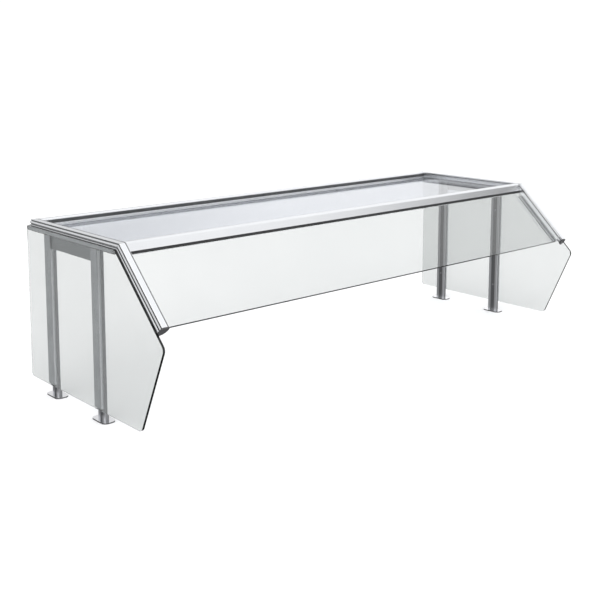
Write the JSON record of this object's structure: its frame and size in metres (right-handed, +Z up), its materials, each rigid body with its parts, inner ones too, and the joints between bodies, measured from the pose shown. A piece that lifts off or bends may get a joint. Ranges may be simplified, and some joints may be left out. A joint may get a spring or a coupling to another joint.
{
  "type": "sneeze guard",
  "caption": "Counter-mounted sneeze guard with a framed flat top glass, a slanted front glass between two arms and shaped end glasses on flat posts.",
  "frame": {"origin": "centre of the bounding box on the counter surface, under the foot plates", "axes": "+X along the counter, -Y towards the customer, +Z up"},
  "size_m": [1.524, 0.6099, 0.44],
  "materials": {
    "rail": "bright anodised, fine lengthwise draw lines",
    "post": "satin anodised, brushed lengthwise",
    "strip": "satin anodised",
    "tie": "satin anodised",
    "foot": "polished",
    "glass": "clear tempered, polished edges",
    "seal": "matte black",
    "cap": "dark grey moulded",
    "key": "mill finish",
    "tape": "grey foam glazing tape",
    "screw": "stainless"
  },
  "bodies": {
    "frame": {"rear_rail": "rail", "front_rail": "rail", "side_rail_left": "rail", "side_rail_right": "rail", "arm_left": "rail", "arm_right": "rail", "arm_cap_left": "cap", "arm_cap_right": "cap", "rail_cap_left": "rail", "rail_cap_right": "rail", "corner_key_left": "key", "corner_key_right": "key", "post_front_left": "post", "post_rear_left": "post", "post_front_right": "post", "post_rear_right": "post", "foot_front_left": "foot", "foot_rear_left": "foot", "foot_front_right": "foot", "foot_rear_right": "foot", "strip_front_left": "strip", "strip_rear_left": "strip", "strip_front_right": "strip", "strip_rear_right": "strip", "strip_tapes": "tape", "edge_tapes": "tape", "tie_plate_left": "tie", "tie_plate_right": "tie", "top_seal": "tape", "front_glass": "glass", "front_gasket": "seal", "rear_insert": "seal", "arm_seal_left": "tape", "arm_seal_right": "tape", "end_glass_left": "glass", "end_glass_right": "glass", "post_screws": "screw", "rail_screws": "screw", "strip_screws": "screw"},
    "lift_glass": {"top_glass": "glass"}
  },
  "joints": [
    {"name": "top_glass_lift", "type": "slide", "parent": "frame", "child": "lift_glass", "axis": [0, 0, 1], "range_m": [0, 0.06]}
  ]
}
